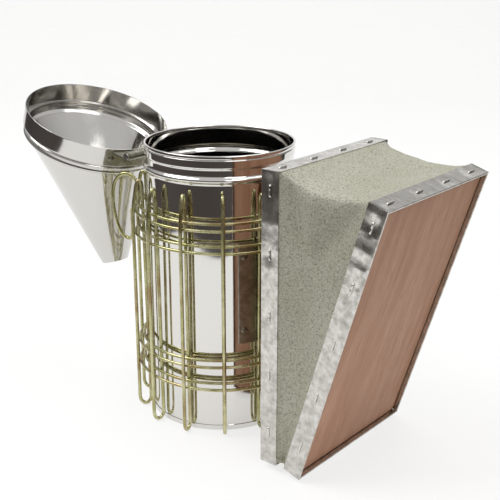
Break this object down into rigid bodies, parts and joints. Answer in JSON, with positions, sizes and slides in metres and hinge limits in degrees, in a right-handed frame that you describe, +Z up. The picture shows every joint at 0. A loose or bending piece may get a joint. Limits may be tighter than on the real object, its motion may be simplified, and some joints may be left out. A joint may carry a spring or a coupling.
{
  "type": "bee smoker",
  "caption": "Hand smoker: steel canister with a hinged funnel lid and wire guard, carried on a sprung wedge bellows with wooden boards.",
  "frame": {"origin": "centre of the canister's underside, on the surface it stands on", "axes": "+Z up, +X from the canister towards the bellows, +Y across the bellows boards"},
  "size_m": [0.338, 0.118, 0.2051],
  "materials": {
    "polished_stainless": "mirror-polished stainless sheet, satin inside",
    "passivated_wire": "zinc-plated wire with yellow passivation",
    "zinc_sheet": "zinc-plated sheet, slightly dulled",
    "bright_fasteners": "bright steel",
    "plywood": "bare reddish plywood, upright grain",
    "tin_strip": "bright tinplate strip with a hemmed edge",
    "leatherette": "grey-green suede-like leatherette",
    "spring_steel": "blued spring steel",
    "leather": "brown valve leather"
  },
  "bodies": {
    "canister": {"canister_shell": "polished_stainless", "canister_bottom": "polished_stainless", "air_inlet_tube": "polished_stainless", "hinge_leaf_canister": "zinc_sheet", "hinge_pin": "zinc_sheet", "hinge_rivets_canister": "bright_fasteners", "guard_ribs": "passivated_wire", "guard_outer_rings": "passivated_wire", "guard_inner_rings": "passivated_wire", "guard_hook": "passivated_wire", "bellows_bracket": "zinc_sheet", "bracket_rivets": "bright_fasteners", "bracket_bolts": "bright_fasteners", "bracket_nuts": "bright_fasteners", "inner_board": "plywood", "inner_strip_near": "tin_strip", "inner_strip_far": "tin_strip", "inner_strip_top": "tin_strip", "inner_strip_foot": "tin_strip", "inner_board_staples": "bright_fasteners", "bellows_skin": "leatherette", "bellows_hinge_strip": "leatherette", "bellows_spring": "spring_steel", "valve_hem": "leather", "valve_tacks": "bright_fasteners"},
    "lid": {"lid_band": "polished_stainless", "lid_cone": "polished_stainless", "hinge_leaf_lid": "zinc_sheet", "hinge_rivets_lid": "bright_fasteners"},
    "bellows_cover": {"outer_board": "plywood", "outer_strip_near": "tin_strip", "outer_strip_far": "tin_strip", "outer_strip_top": "tin_strip", "outer_strip_foot": "tin_strip", "outer_board_staples": "bright_fasteners"},
    "grate": {"fire_grate": "polished_stainless"},
    "flap": {"valve_flap": "leather"}
  },
  "joints": [
    {"name": "lid_hinge", "type": "hinge", "parent": "canister", "child": "lid", "pos_m": [-0.0608, 0, 0.1704], "axis": [0, 1, 0], "range_deg": [0, 160.7]},
    {"name": "bellows_hinge", "type": "hinge", "parent": "canister", "child": "bellows_cover", "pos_m": [0.0963, 0, 0.0066], "axis": [0, -1, 0], "range_deg": [0, 13.5], "stiffness_Nm_per_rad": 0.8, "springref_deg": -34.38, "deforming": ["bellows_skin", "bellows_hinge_strip", "bellows_spring"]},
    {"name": "grate_lift", "type": "slide", "parent": "canister", "child": "grate", "axis": [0, 0, 1], "range_m": [0, 0.14]},
    {"name": "flap_hinge", "type": "hinge", "parent": "canister", "child": "flap", "pos_m": [0.0945, 0, 0.1635], "axis": [0, -1, 0], "range_deg": [0, 14]}
  ]
}
